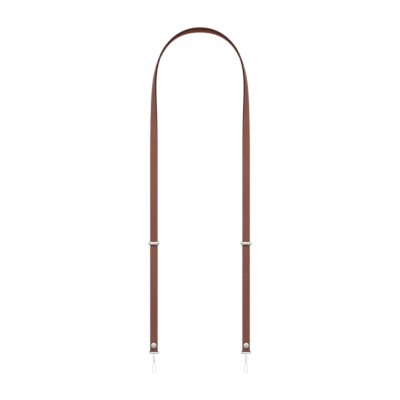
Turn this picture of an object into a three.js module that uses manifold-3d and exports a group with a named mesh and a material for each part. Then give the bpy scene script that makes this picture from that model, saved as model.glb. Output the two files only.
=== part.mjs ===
import * as THREE from "three";
import { mergeVertices } from "three/addons/utils/BufferGeometryUtils.js";
import Module from "manifold-3d";

// A flat leather neck strap for a phone, hanging as it is worn: an arch that goes round the neck and
// two straight legs, each with a sliding keeper, a riveted fold, a ring and a thin cord loop.
// Millimetres. +Z is up and the legs face -Y. The origin is under the middle of the arch, on the neck.

// Leather
const STRAP_WIDTH = 10;
const STRAP_THICK = 2.5;
const FOLD_THICK = 1.0; // skived, where it bends round the ring
const SKIVE_LENGTH = 4.2; // over which it thins above the ring
const TAIL_THICK = 1.2; // the end that runs back up behind the leg
const EDGE_ROUND = 0.6;
const EDGE_SHARE = 0.4; // most of the thickness that an edge's rounding may take

// Hang of the strap
const LEG_SPACING = 121; // between the middles of the legs
const STRAP_DROP = 421.47; // from the neck down to the bottom of the folds
const CROWN_FLATNESS = 0.22; // share of the curvature that is missing in the crown's middle
const EASE_RATIO = 5.05; // length of the arch's straightening shoulder over that of its crown
const CROWN_TILT = THREE.MathUtils.degToRad(23.2); // front edge of the crown stands higher
const TILT_END = 50; // along the strap from the crown's middle
const TURN_START = 41; // the quarter turn that brings the grain side to the front
const TURN_END = 222;

// Fittings
const GAP = 0.3; // clearance between neighbouring pieces
const WIRE = 1.3; // ring
const RING_REACH = 3.77; // between the middles of the ring's two bars
const RING_CORNER = 1.7;
const RING_SIDE_GAP = 0.2; // between the ring's ends and the leather's edges
const FOLD_CLEAR = 0.35; // between the ring's top bar and the leather round it
const KEEPER_DROP = 278.94;
const KEEPER_HEIGHT = 3.9;
const KEEPER_WALL = 1.8;
const KEEPER_EDGE = 0.5; // thickness of its wall at the rims
const KEEPER_CORNER = 0.9; // inside
const TAIL_PAST_KEEPER = 6;
const RIVET_RISE = 8.73; // above the bottom of the fold
const RIVET_CAP = 7;
const RIVET_DOME = 1.5;
const RIVET_RIM = 0.45;
const RIVET_SHANK = 2.4;

// Cord
const CORD = 0.9;
const EYE_CORD = 0.5; // the finer cord of the eye on the ring
const EYE_CLEAR = 0.2; // between the eye and the ring's wire
const EYE_TUCK = 0.6; // of the eye's ends into the neck
const NECK_DROP = 1.3; // from the middle of the ring's lower bar to the top of the bound neck
const NECK_LENGTH = 7.9;
const NECK_WIDE = 2.3;
const NECK_ROUND = 0.45;
// Half of the loop's route, from the neck to the lowest point
const LOOP = [
  { across: 0.5, drop: 0 },
  { across: 0.55, drop: 1.2 },
  { across: 0.8, drop: 2.8 },
  { across: 1.18, drop: 4.6 },
  { across: 1.58, drop: 6.6 },
  { across: 1.91, drop: 8.7 },
  { across: 2.08, drop: 10.8 },
  { across: 2.1, drop: 12.4 },
  { across: 2.06, drop: 13.5 },
  { across: 1.95, drop: 14.3 },
  { across: 1.71, drop: 15.05 },
  { across: 1.29, drop: 15.66 },
  { across: 0.69, drop: 16.06 },
  { across: 0, drop: 16.2 },
];

// Facets
const ARCH_STEP = 5;
const MARCH = 0.005; // step of the arch's integration, in crown lengths
const FOLD_STEPS = 12;
const EDGE_STEPS = 2;
const CORNER_STEPS = 4;
const DOME_STEPS = 7;
const RIVET_SIDES = 24;
const WIRE_SIDES = 12;
const NECK_SIDES = 16;
const CORD_SIDES = 8;
const BEND_STEPS = 8;
const EYE_STEPS = 15;
const LOOP_STEPS = 35;

// Levels and depths that follow from the sizes above
const FOLD_RADIUS = WIRE / 2 + FOLD_CLEAR + FOLD_THICK;
const BAR_Z = FOLD_RADIUS - STRAP_DROP;
const BAR_Y = FOLD_RADIUS - STRAP_THICK / 2;
const LOWER_BAR_Z = BAR_Z - RING_REACH;
const STACK = STRAP_THICK + GAP + TAIL_THICK; // leg, tail and the gap between them
const STACK_Y = (STACK - STRAP_THICK) / 2;
const SKIVE_TOP_Z = BAR_Z + SKIVE_LENGTH;
const TAIL_END_Z = -KEEPER_DROP + KEEPER_HEIGHT / 2 + TAIL_PAST_KEEPER;

const MATERIALS = {
  leather: new THREE.MeshStandardMaterial({ color: 0x8a5a4e, roughness: 0.55, metalness: 0 }),
  metal: new THREE.MeshStandardMaterial({ color: 0xcfc8be, roughness: 0.25, metalness: 1 }),
  cord: new THREE.MeshStandardMaterial({ color: 0xf3f2ee, roughness: 0.8, metalness: 0 }),
};

const vector = (x, y, z) => new THREE.Vector3(x, y, z);
const ease = (value, from, to) => THREE.MathUtils.smoothstep(value, from, to);

// Joins rings of points, each counter-clockwise about the way they follow each other, into one skin.
function loft(rings, closed) {
  const sides = rings[0].length;
  const index = [];
  const spans = closed ? rings.length : rings.length - 1;
  for (let i = 0; i < spans; i++) {
    const near = i * sides;
    const far = ((i + 1) % rings.length) * sides;
    for (let k = 0; k < sides; k++) {
      const next = (k + 1) % sides;
      index.push(near + k, near + next, far + next, near + k, far + next, far + k);
    }
  }
  if (!closed) {
    const last = (rings.length - 1) * sides;
    for (let k = 1; k < sides - 1; k++) {
      index.push(0, k + 1, k, last, last + k, last + k + 1);
    }
  }
  const geometry = new THREE.BufferGeometry();
  geometry.setFromPoints(rings.flat());
  geometry.setIndex(index);
  return geometry;
}

// Stations on a rounded rectangle round the origin: place and outward direction of each.
function roundedLoop(halfA, halfB, radius, steps = CORNER_STEPS) {
  const stations = [];
  for (let corner = 0; corner < 4; corner++) {
    const midA = (halfA - radius) * (corner === 0 || corner === 3 ? 1 : -1);
    const midB = (halfB - radius) * (corner < 2 ? 1 : -1);
    for (let i = 0; i <= steps; i++) {
      const angle = (corner + i / steps) * (Math.PI / 2);
      const out = new THREE.Vector2(Math.cos(angle), Math.sin(angle));
      stations.push({ at: new THREE.Vector2(midA, midB).addScaledVector(out, radius), out });
    }
  }
  return stations;
}

const wasm = await Module();
wasm.setup();

function toSolid(geometry) {
  const bare = geometry.clone();
  bare.deleteAttribute("normal");
  bare.deleteAttribute("uv");
  const merged = mergeVertices(bare, 1e-4);
  const vertProperties = new Float32Array(merged.attributes.position.array);
  const triVerts = new Uint32Array(merged.index.array);
  return new wasm.Manifold(new wasm.Mesh({ numProp: 3, vertProperties, triVerts }));
}

function toGeometry(solid) {
  const mesh = solid.getMesh();
  const geometry = new THREE.BufferGeometry();
  geometry.setAttribute("position", new THREE.BufferAttribute(mesh.vertProperties, 3));
  geometry.setIndex(new THREE.BufferAttribute(mesh.triVerts, 1));
  return geometry;
}

// Heading of the unit arch below the horizontal: a crown of length 1 that is flattened in its middle,
// then a shoulder whose curvature eases to nothing, so that the legs hang straight.
function heading(length) {
  const near = Math.min(length, 1);
  const crown = (at) => at - CROWN_FLATNESS * (at - (2 * at ** 3) / 3 + at ** 5 / 5);
  const f = THREE.MathUtils.clamp((length - 1) / EASE_RATIO, 0, 1);
  const shoulder = EASE_RATIO * (f - f ** 3 + f ** 4 / 2);
  return ((Math.PI / 2) * (crown(near) + shoulder)) / (crown(1) + EASE_RATIO / 2);
}

// The arch's middle line from the crown to the end of the turn, in steps along the strap.
function archLine() {
  let reach = 0;
  for (let at = MARCH / 2; at < 1 + EASE_RATIO; at += MARCH) {
    reach += Math.cos(heading(at)) * MARCH;
  }
  const unit = LEG_SPACING / 2 / reach;
  const point = vector(0, 0, STRAP_THICK / 2 / Math.cos(CROWN_TILT));
  const line = [];
  const steps = Math.round(TURN_END / ARCH_STEP);
  const step = TURN_END / steps;
  const parts = Math.ceil(step / unit / MARCH);
  for (let i = 0; i <= steps; i++) {
    const along = i * step;
    line.push({ along, point: point.clone(), heading: heading(along / unit) });
    for (let j = 0; j < parts; j++) {
      const angle = heading((along + ((j + 0.5) * step) / parts) / unit);
      point.x += (Math.cos(angle) * step) / parts;
      point.z -= (Math.sin(angle) * step) / parts;
    }
  }
  line.at(-1).point.x = LEG_SPACING / 2;
  return line;
}

// Sections of the right half of the strap, from the crown to the end of the tail. Each has the middle
// of its grain face, the way across to the edge that is in front on the crown, and the way out of
// the grain face.
function halfStrap() {
  const stations = archLine().map(({ along, point, heading: down }) => {
    const roll =
      (Math.PI / 2) * ease(along, TURN_START, TURN_END) - CROWN_TILT * (1 - ease(along, 0, TILT_END));
    const above = vector(Math.sin(down), 0, Math.cos(down));
    const front = vector(0, -1, 0);
    const across = front.clone().multiplyScalar(Math.cos(roll)).addScaledVector(above, -Math.sin(roll));
    const out = above.clone().multiplyScalar(Math.cos(roll)).addScaledVector(front, Math.sin(roll));
    const grain = point.clone().addScaledVector(out, STRAP_THICK / 2);
    return { grain, across, out, thick: STRAP_THICK };
  });
  const x = LEG_SPACING / 2;
  const inward = vector(-1, 0, 0);
  const flat = (z, side, thick) => {
    const out = vector(0, side, 0);
    const grain = vector(x, BAR_Y, z).addScaledVector(out, FOLD_RADIUS);
    stations.push({ grain, across: inward, out, thick });
  };
  flat(TAIL_END_Z, -1, STRAP_THICK);
  flat(SKIVE_TOP_Z, -1, STRAP_THICK);
  for (let i = 0; i <= FOLD_STEPS; i++) {
    const turn = (i / FOLD_STEPS) * Math.PI;
    const out = vector(0, -Math.cos(turn), -Math.sin(turn));
    const grain = vector(x, BAR_Y, BAR_Z).addScaledVector(out, FOLD_RADIUS);
    stations.push({ grain, across: inward, out, thick: FOLD_THICK });
  }
  flat(SKIVE_TOP_Z, 1, TAIL_THICK);
  flat(TAIL_END_Z, 1, TAIL_THICK);
  return stations;
}

function mirrored({ grain, across, out, thick }) {
  const flip = (v) => vector(-v.x, v.y, v.z);
  return { grain: flip(grain), across: flip(across), out: flip(out), thick };
}

// Rounded outline of the band at a station: across its width, and in from the grain face.
function bandRing({ grain, across, out, thick }) {
  const radius = Math.min(EDGE_ROUND, thick * EDGE_SHARE);
  return roundedLoop(STRAP_WIDTH / 2, thick / 2, radius, EDGE_STEPS).map(({ at }) =>
    grain.clone().addScaledVector(across, at.x).addScaledVector(out, -at.y - thick / 2),
  );
}

function strapGeometry() {
  const right = halfStrap();
  const left = right.slice(1).reverse().map(mirrored);
  const band = toSolid(loft([...left, ...right].map(bandRing), false));
  const holes = [-1, 1].map((side) => {
    const radius = RIVET_SHANK / 2 + GAP;
    const hole = new THREE.CylinderGeometry(radius, radius, 2 * STACK, RIVET_SIDES);
    hole.translate((side * LEG_SPACING) / 2, STACK_Y, RIVET_RISE - STRAP_DROP);
    return toSolid(hole);
  });
  return toGeometry(band.subtract(holes[0]).subtract(holes[1]));
}

// Loop of domed bar round the leg and its tail, about the middle of the opening.
function keeperGeometry() {
  const section = [new THREE.Vector2(0, KEEPER_EDGE / 2 - KEEPER_HEIGHT / 2)];
  for (let i = 0; i <= DOME_STEPS; i++) {
    const angle = (i / DOME_STEPS - 0.5) * Math.PI;
    const swell = KEEPER_EDGE + (KEEPER_WALL - KEEPER_EDGE) * Math.cos(angle);
    section.push(new THREE.Vector2(swell, (KEEPER_HEIGHT / 2) * Math.sin(angle)));
  }
  section.push(new THREE.Vector2(0, KEEPER_HEIGHT / 2 - KEEPER_EDGE / 2));
  section.reverse();
  const loop = roundedLoop(STRAP_WIDTH / 2 + GAP, STACK / 2 + GAP, KEEPER_CORNER);
  const rings = loop.map(({ at, out }) =>
    section.map((p) => vector(at.x + out.x * p.x, at.y + out.y * p.x, p.y)),
  );
  return loft(rings, true);
}

// Wire ring in the XZ plane, about the middle of its top bar.
function ringGeometry() {
  const loop = roundedLoop(STRAP_WIDTH / 2 + RING_SIDE_GAP + WIRE / 2, RING_REACH / 2, RING_CORNER);
  const rings = loop.map(({ at, out }) => {
    const ring = [];
    for (let k = 0; k < WIRE_SIDES; k++) {
      const angle = ((k + 0.5) / WIRE_SIDES) * 2 * Math.PI;
      const swell = (WIRE / 2) * Math.cos(angle);
      ring.push(
        vector(at.x + out.x * swell, (WIRE / 2) * Math.sin(angle), at.y + out.y * swell - RING_REACH / 2),
      );
    }
    return ring;
  });
  return loft(rings, true);
}

// Domed caps on both sides of the layers, on one shank, about the middle of the stack.
function rivetGeometry() {
  const seat = STACK / 2 + GAP;
  const side = [];
  for (let i = 0; i <= DOME_STEPS; i++) {
    const angle = (i / DOME_STEPS) * (Math.PI / 2);
    const dome = (RIVET_DOME - RIVET_RIM) * Math.cos(angle);
    side.push(new THREE.Vector2((RIVET_CAP / 2) * Math.sin(angle), seat + RIVET_RIM + dome));
  }
  side.push(new THREE.Vector2(RIVET_CAP / 2, seat), new THREE.Vector2(RIVET_SHANK / 2, seat));
  const other = side.map((p) => new THREE.Vector2(p.x, -p.y)).reverse();
  return new THREE.LatheGeometry([...side, ...other].reverse(), RIVET_SIDES);
}

function cordTube(points, thick, steps) {
  const section = new THREE.Shape();
  for (let k = 0; k < CORD_SIDES; k++) {
    const angle = ((k + 0.5) / CORD_SIDES) * 2 * Math.PI;
    const [a, b] = [(thick / 2) * Math.cos(angle), (thick / 2) * Math.sin(angle)];
    if (k === 0) section.moveTo(a, b);
    else section.lineTo(a, b);
  }
  const extrudePath = new THREE.CatmullRomCurve3(points, false, "centripetal");
  return new THREE.ExtrudeGeometry(section, { steps, extrudePath });
}

// Bound neck of the cord, with the eye that goes round the ring's lower bar, about that bar's middle.
function cordNeckGeometry() {
  const radius = NECK_WIDE / 2;
  const foot = -NECK_DROP - NECK_LENGTH;
  const profile = [
    new THREE.Vector2(0, foot),
    new THREE.Vector2(radius - NECK_ROUND, foot),
    new THREE.Vector2(radius, foot + NECK_ROUND),
    new THREE.Vector2(radius, -NECK_DROP - NECK_ROUND),
    new THREE.Vector2(radius - NECK_ROUND, -NECK_DROP),
    new THREE.Vector2(0, -NECK_DROP),
  ];
  const neck = new THREE.LatheGeometry(profile, NECK_SIDES).rotateX(Math.PI / 2);
  const bend = WIRE / 2 + EYE_CLEAR + EYE_CORD / 2;
  const inset = radius - NECK_ROUND;
  const route = [vector(0, -inset, -NECK_DROP - EYE_TUCK), vector(0, -inset, -NECK_DROP)];
  for (let i = 0; i <= BEND_STEPS; i++) {
    const angle = (i / BEND_STEPS) * Math.PI;
    route.push(vector(0, -bend * Math.cos(angle), bend * Math.sin(angle)));
  }
  route.push(vector(0, inset, -NECK_DROP), vector(0, inset, -NECK_DROP - EYE_TUCK));
  return toGeometry(toSolid(neck).add(toSolid(cordTube(route, EYE_CORD, EYE_STEPS))));
}

// Open loop of the cord below its neck, about the middle of the ring's lower bar.
function cordGeometry() {
  const top = -NECK_DROP - NECK_LENGTH - GAP;
  const down = LOOP.map(({ across, drop }) => vector(-across, 0, top - drop));
  const up = LOOP.slice(0, -1).reverse().map(({ across, drop }) => vector(across, 0, top - drop));
  return cordTube([...down, ...up], CORD, LOOP_STEPS);
}

const phoneStrap = new THREE.Group();

function addPiece(parent, name, geometry, material, at) {
  const piece = new THREE.Mesh(geometry, material);
  piece.name = name;
  piece.position.copy(at);
  parent.add(piece);
}

addPiece(phoneStrap, "strap", strapGeometry(), MATERIALS.leather, vector(0, 0, 0));
for (const [side, sign] of [["left", -1], ["right", 1]]) {
  const leg = new THREE.Group();
  leg.position.x = (sign * LEG_SPACING) / 2;
  const fastening = vector(0, STACK_Y, RIVET_RISE - STRAP_DROP);
  const lowerBar = vector(0, BAR_Y, LOWER_BAR_Z);
  addPiece(leg, `keeper_${side}`, keeperGeometry(), MATERIALS.metal, vector(0, STACK_Y, -KEEPER_DROP));
  addPiece(leg, `rivet_${side}`, rivetGeometry(), MATERIALS.metal, fastening);
  addPiece(leg, `ring_${side}`, ringGeometry(), MATERIALS.metal, vector(0, BAR_Y, BAR_Z));
  addPiece(leg, `cord_neck_${side}`, cordNeckGeometry(), MATERIALS.cord, lowerBar);
  addPiece(leg, `cord_${side}`, cordGeometry(), MATERIALS.cord, lowerBar);
  phoneStrap.add(leg);
}

export default phoneStrap;
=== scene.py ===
"""Visual model of a leather neck strap for a phone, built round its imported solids.

Metres. +Z is up, the legs hang down -Z and face -Y, and the origin is where the crown of the
arch rests on the neck.
"""

import logging
import math
from dataclasses import dataclass
from enum import Enum
from typing import ClassVar, Iterable, Optional, Sequence, Union

import bmesh
import bpy
import numpy as np
from mathutils import Matrix, Vector

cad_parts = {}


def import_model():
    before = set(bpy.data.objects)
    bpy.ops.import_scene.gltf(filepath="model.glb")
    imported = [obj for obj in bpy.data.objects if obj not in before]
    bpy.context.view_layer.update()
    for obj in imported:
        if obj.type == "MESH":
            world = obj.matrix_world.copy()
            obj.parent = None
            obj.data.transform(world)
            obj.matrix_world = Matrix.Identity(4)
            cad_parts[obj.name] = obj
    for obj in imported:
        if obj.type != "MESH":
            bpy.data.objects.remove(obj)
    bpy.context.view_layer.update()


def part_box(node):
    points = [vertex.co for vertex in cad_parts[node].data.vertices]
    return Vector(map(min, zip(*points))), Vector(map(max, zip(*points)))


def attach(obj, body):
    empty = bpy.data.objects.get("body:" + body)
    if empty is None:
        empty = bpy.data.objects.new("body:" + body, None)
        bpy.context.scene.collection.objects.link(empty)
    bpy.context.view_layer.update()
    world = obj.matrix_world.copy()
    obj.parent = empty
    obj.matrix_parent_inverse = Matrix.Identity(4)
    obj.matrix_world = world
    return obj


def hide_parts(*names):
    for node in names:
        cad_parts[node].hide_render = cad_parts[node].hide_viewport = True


LOG = logging.getLogger("strap")
RING_REACH = 0.00377  # between the middles of a ring's two bars
Colour = tuple[float, float, float, float]
Span = tuple[float, float]
Spot = tuple[float, float, float]
Source = Union[bpy.types.NodeSocket, float, int, bool, str, Sequence[float]]


class Side(Enum):
    """A leg of the strap, as the viewer sees it."""

    LEFT = -1
    RIGHT = 1

    def named(self, kind: str) -> str:
        """Name of this side's node or body of a kind."""
        return f"{kind}_{self.name.lower()}"


class Slot(Enum):
    """Names of the material slots."""

    LEATHER = "brown_leather"
    NICKEL = "nickel"
    CORD = "white_cord"


class Lay(Enum):
    """How the strands of a cord run round it: one way, or both ways through each other."""

    TWIST = False
    BRAID = True


def middle(node: str) -> np.ndarray:
    """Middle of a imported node's box."""
    low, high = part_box(node)
    return (np.array(low) + np.array(high)) / 2


def smooth(value: np.ndarray, start: float, stop: float) -> np.ndarray:
    """Rises from 0 to 1 between two values, level at both ends.

    Args:
        value: Where to read the curve.
        start: Value at which it leaves 0.
        stop: Value at which it reaches 1.

    Returns:
        The curve's height at each value.
    """
    share = np.clip((value - start) / (stop - start), 0.0, 1.0)
    return share * share * (3.0 - 2.0 * share)


class NodeSketch:
    """Adds nodes to a tree, and links or sets their inputs."""

    def __init__(self, tree: bpy.types.NodeTree) -> None:
        """Starts on a tree."""
        self.tree = tree

    def put(self, socket: bpy.types.NodeSocket, value: Source) -> None:
        """Links a socket to an input, or sets the input to a plain value.

        Args:
            socket: The input.
            value: An output socket to link, or a constant.
        """
        if isinstance(value, bpy.types.NodeSocket):
            self.tree.links.new(value, socket)
        else:
            socket.default_value = value

    def add(self, kind: str, inputs: Optional[dict] = None, **settings: object) -> bpy.types.Node:
        """Adds a node.

        Args:
            kind: The node's type name.
            inputs: Input name or index, with what goes there.
            **settings: Properties of the node itself.

        Returns:
            The new node.
        """
        node = self.tree.nodes.new(kind)
        for name, value in settings.items():
            setattr(node, name, value)
        for key, value in (inputs or {}).items():
            self.put(node.inputs[key], value)
        return node

    def math(self, operation: str, *values: Source) -> bpy.types.NodeSocket:
        """Result of a math node."""
        return self.add("ShaderNodeMath", dict(enumerate(values)), operation=operation).outputs[0]

    def vector(self, operation: str, *values: Source) -> bpy.types.NodeSocket:
        """Result of a vector math node that takes vectors."""
        node = self.add("ShaderNodeVectorMath", dict(enumerate(values)), operation=operation)
        return node.outputs["Vector"]

    def scaled(self, vector: bpy.types.NodeSocket, factor: Source) -> bpy.types.NodeSocket:
        """A vector times a number."""
        node = self.add("ShaderNodeVectorMath", {0: vector, "Scale": factor}, operation="SCALE")
        return node.outputs["Vector"]

    def ramp(self, value: Source, span: Span, first: Source = 0.0,
             last: Source = 1.0) -> bpy.types.NodeSocket:
        """Eases from one number to another while a value runs through a span.

        Args:
            value: What drives the change.
            span: Values at which it starts and ends.
            first: Result at the start.
            last: Result at the end.

        Returns:
            The result's socket.
        """
        node = self.add("ShaderNodeMapRange", {0: value, 1: span[0], 2: span[1], 3: first, 4: last},
                        interpolation_type="SMOOTHSTEP")
        return node.outputs[0]

    def blend(self, share: Source, first: Source, second: Source) -> bpy.types.NodeSocket:
        """Mixes two colours.

        Args:
            share: How much of the second colour.
            first: Colour or socket.
            second: Colour or socket.

        Returns:
            The mixed colour's socket.
        """
        node = self.add("ShaderNodeMix", {0: share, 6: first, 7: second}, data_type="RGBA")
        return node.outputs[2]

    def noise(self, place: bpy.types.NodeSocket, grain: float, detail: float = 2.0,
              rough: float = 0.5) -> bpy.types.NodeSocket:
        """Noise between 0 and 1.

        Args:
            place: Coordinates.
            grain: Size of its patches in metres.
            detail: Number of finer octaves.
            rough: Strength of the finer octaves.

        Returns:
            The noise value's socket.
        """
        inputs = {"Vector": place, "Scale": 1.0 / grain, "Detail": detail, "Roughness": rough}
        return self.add("ShaderNodeTexNoise", inputs).outputs[0]


class ShaderSketch(NodeSketch):
    """Node sketch of a new material round a principled shader."""

    def __init__(self, name: str) -> None:
        """Makes a material with its shader and no look yet.

        Args:
            name: Name of the material.
        """
        self.material = bpy.data.materials.new(name)
        self.material.use_nodes = True
        super().__init__(self.material.node_tree)
        self.tree.nodes.clear()
        self.shader = self.add("ShaderNodeBsdfPrincipled")
        self.add("ShaderNodeOutputMaterial", {"Surface": self.shader.outputs[0]})
        self.place = self.add("ShaderNodeTexCoord").outputs["Object"]

    def attribute(self, name: str) -> bpy.types.NodeSocket:
        """Value of a mesh attribute."""
        return self.add("ShaderNodeAttribute", attribute_name=name).outputs["Fac"]

    def stretched(self, scale: Sequence[float]) -> bpy.types.NodeSocket:
        """Object coordinates scaled by axis."""
        return self.add("ShaderNodeMapping", {"Vector": self.place, "Scale": scale}).outputs[0]

    def mixed(self, first: bpy.types.NodeSocket, second: bpy.types.NodeSocket,
              share: float) -> bpy.types.NodeSocket:
        """Sum of two values, with a share for the first and the rest for the second."""
        return self.math("ADD", self.math("MULTIPLY", first, share),
                         self.math("MULTIPLY", second, 1.0 - share))

    def surface(self, **inputs: Source) -> None:
        """Sets shader inputs, with underscores for the blanks in their names."""
        for name, value in inputs.items():
            self.put(self.shader.inputs[name.replace("_", " ")], value)

    def bump(self, height: bpy.types.NodeSocket, depth: float, strength: Source = 1.0) -> None:
        """Gives the shader a relief.

        Args:
            height: Relief between 0 and 1.
            depth: Its depth in metres.
            strength: Share of the relief that shows.
        """
        inputs = {"Height": height, "Distance": depth, "Strength": strength}
        self.put(self.shader.inputs["Normal"], self.add("ShaderNodeBump", inputs).outputs[0])


@dataclass(frozen=True)
class LeatherFinish:
    """Brown leather: pored grain side, napped flesh side, dark painted edges and painted shade."""

    deep: Colour = (0.165, 0.0550, 0.0370, 1.0)
    light: Colour = (0.190, 0.0690, 0.0475, 1.0)
    # colour of painted shade: in the grain's creases, round the rivets and under the folds
    shade_colour: Colour = (0.110, 0.030, 0.018, 1.0)
    flesh_deep: Colour = (0.300, 0.084, 0.050, 1.0)
    flesh_light: Colour = (0.410, 0.138, 0.090, 1.0)
    # dark edge paint; also the colour of the painted shade on the flesh side
    paint: Colour = (0.046, 0.0085, 0.0060, 1.0)
    bloom: Colour = (0.60, 0.42, 0.36, 1.0)  # sheen at a flat angle
    bloom_share: float = 0.34
    bloom_spread: float = 0.4
    cloud: float = 0.024
    cloud_share: float = 0.55
    mottle: float = 0.0030
    mottle_span: Span = (0.3, 0.7)
    shade_span: Span = (0.34, 0.66)
    pore_size: float = 0.00032
    pore_crease: float = 0.16  # share of a pore's cell
    # share of painted shade in the grain's creases
    crease_shade: float = 0.22
    pore_depth: float = 0.7
    nap: float = 0.00022
    nap_span: Span = (0.35, 0.65)
    nap_on_grain: float = 0.35
    relief: float = 0.00006
    relief_shown: Span = (0.55, 0.2)  # on bare leather and on paint
    paint_span: Span = (0.15, 0.85)
    paint_ragged: float = 0.25
    rough: Span = (0.46, 0.58)
    flesh_rougher: float = 0.34
    paint_rougher: float = 0.12
    roughest: float = 0.9
    gloss: Span = (0.40, 0.04)  # on the grain and on the flesh
    paint_gloss: float = 0.4

    def material(self) -> bpy.types.Material:
        """Builds the material.

        Returns:
            A material that reads the mesh's edge, flesh and painted_shade attributes.
        """
        s = ShaderSketch("brown leather")
        clouds = s.noise(s.place, self.cloud, detail=3.0)
        mottle = s.noise(s.place, self.mottle, detail=4.0, rough=0.6)
        nap = s.noise(s.place, self.nap, detail=5.0, rough=0.7)
        cells = s.add("ShaderNodeTexVoronoi", {"Vector": s.place, "Scale": 1.0 / self.pore_size},
                      feature="DISTANCE_TO_EDGE").outputs["Distance"]
        crease = s.ramp(cells, (0.0, self.pore_crease), 1.0, 0.0)
        flesh = s.attribute("flesh")
        # Edge paint, with painted shade across the flesh side from its front edge
        ragged = s.math("MULTIPLY_ADD", s.math("SUBTRACT", mottle, 0.5), self.paint_ragged,
                        s.attribute("edge"))
        edge = s.ramp(ragged, self.paint_span)
        shade = s.mixed(clouds, mottle, self.cloud_share)
        grain = s.blend(s.ramp(shade, self.shade_span), self.deep, self.light)
        # Painted shade in the grain's creases
        grain = s.blend(s.math("MULTIPLY", crease, self.crease_shade), grain, self.shade_colour)
        # Painted shade round the rivets and under the folds
        grain = s.blend(s.attribute("painted_shade"), grain, self.shade_colour)
        inner = s.blend(s.ramp(nap, self.nap_span), self.flesh_deep, self.flesh_light)
        colour = s.blend(edge, s.blend(flesh, grain, inner), self.paint)
        rough = s.math("MULTIPLY_ADD", flesh, self.flesh_rougher,
                       s.ramp(mottle, self.mottle_span, *self.rough))
        rough = s.math("MULTIPLY_ADD", edge, self.paint_rougher, rough)
        pored = s.math("MULTIPLY_ADD", crease, -self.pore_depth,
                       s.math("MULTIPLY", nap, self.nap_on_grain))
        shown = s.ramp(edge, (0.0, 1.0), *self.relief_shown)
        s.bump(s.blend(flesh, pored, nap), self.relief, shown)
        gloss = s.math("MULTIPLY", s.ramp(flesh, (0.0, 1.0), *self.gloss),
                       s.ramp(edge, (0.0, 1.0), 1.0, self.paint_gloss))
        s.surface(Base_Color=colour, Roughness=s.math("MINIMUM", rough, self.roughest),
                  Specular_IOR_Level=gloss, Sheen_Weight=self.bloom_share,
                  Sheen_Roughness=self.bloom_spread, Sheen_Tint=self.bloom)
        return s.material


@dataclass(frozen=True)
class NickelFinish:
    """Nickel plate with fine handling marks."""

    bright: Colour = (0.70, 0.67, 0.63, 1.0)
    dull: Colour = (0.64, 0.605, 0.56, 1.0)
    tarnish: float = 0.0022
    tarnish_span: Span = (0.42, 0.72)
    scratch: float = 0.00012
    scratch_stretch: Spot = (1.0, 0.6, 0.09)
    scratch_span: Span = (0.55, 0.75)
    scratch_rougher: float = 0.10
    rough: Span = (0.36, 0.42)
    rough_span: Span = (0.3, 0.7)
    relief: float = 0.0000025
    relief_shown: float = 0.5

    def material(self) -> bpy.types.Material:
        """Builds the material.

        Returns:
            A metal that is duller in patches and along its marks.
        """
        s = ShaderSketch("nickel plate")
        patch = s.noise(s.place, self.tarnish, detail=3.0, rough=0.6)
        mark = s.ramp(s.noise(s.stretched(self.scratch_stretch), self.scratch), self.scratch_span)
        colour = s.blend(s.ramp(patch, self.tarnish_span), self.bright, self.dull)
        rough = s.math("MULTIPLY_ADD", mark, self.scratch_rougher,
                       s.ramp(patch, self.rough_span, *self.rough))
        s.bump(mark, self.relief, self.relief_shown)
        s.surface(Base_Color=colour, Roughness=rough, Metallic=1.0)
        return s.material


@dataclass(frozen=True)
class CordFinish:
    """White synthetic cord with a soft fibre."""

    clean: Colour = (0.815, 0.811, 0.804, 1.0)
    grey: Colour = (0.765, 0.759, 0.750, 1.0)
    grey_span: Span = (0.4, 0.7)
    patch: float = 0.0018
    patch_share: float = 0.6
    fibre: float = 0.00006
    rough: Span = (0.66, 0.82)
    rough_span: Span = (0.3, 0.7)
    gloss: float = 0.3
    relief: float = 0.00001
    relief_shown: float = 0.6

    def material(self) -> bpy.types.Material:
        """Builds the material.

        Returns:
            A dull white that greys in patches and along its fibre.
        """
        s = ShaderSketch("white cord")
        patch = s.noise(s.place, self.patch, detail=3.0)
        fibre = s.noise(s.place, self.fibre, detail=3.0, rough=0.6)
        share = s.mixed(patch, fibre, self.patch_share)
        colour = s.blend(s.ramp(share, self.grey_span), self.clean, self.grey)
        s.bump(fibre, self.relief, self.relief_shown)
        s.surface(Base_Color=colour, Roughness=s.ramp(fibre, self.rough_span, *self.rough),
                  Diffuse_Roughness=1.0, Specular_IOR_Level=self.gloss)
        return s.material


def plain_mesh(name: str, points: np.ndarray, faces: Iterable[Sequence[int]],
               sharp: float = 50.0) -> bpy.types.Mesh:
    """Makes a smooth shaded mesh whose sharp edges stay sharp.

    Args:
        name: Name of the mesh.
        points: One row for each vertex.
        faces: Vertex indices of each face, counter-clockwise from outside.
        sharp: Angle in degrees above which an edge is sharp.

    Returns:
        The new mesh.
    """
    mesh = bpy.data.meshes.new(name)
    mesh.from_pydata(points.tolist(), [], [tuple(int(i) for i in face) for face in faces])
    mesh.shade_smooth()
    mesh.set_sharp_from_angle(angle=math.radians(sharp))
    return mesh


def loft_faces(rings: int, sides: int, closed: bool) -> list[list[int]]:
    """Faces of a skin over rings of points.

    Args:
        rings: Number of rings, each counter-clockwise about the path's direction.
        sides: Number of points in each ring.
        closed: Whether the last ring joins the first. If not, both ends are capped.

    Returns:
        Vertex indices of each face, with the caps last.
    """
    faces = []
    for ring in range(rings if closed else rings - 1):
        near = ring * sides
        far = (ring + 1) % rings * sides
        for k in range(sides):
            after = (k + 1) % sides
            faces.append([near + k, near + after, far + after, far + k])
    if not closed:
        last = (rings - 1) * sides
        faces.append(list(range(sides - 1, -1, -1)))
        faces.append(list(range(last, last + sides)))
    return faces


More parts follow.
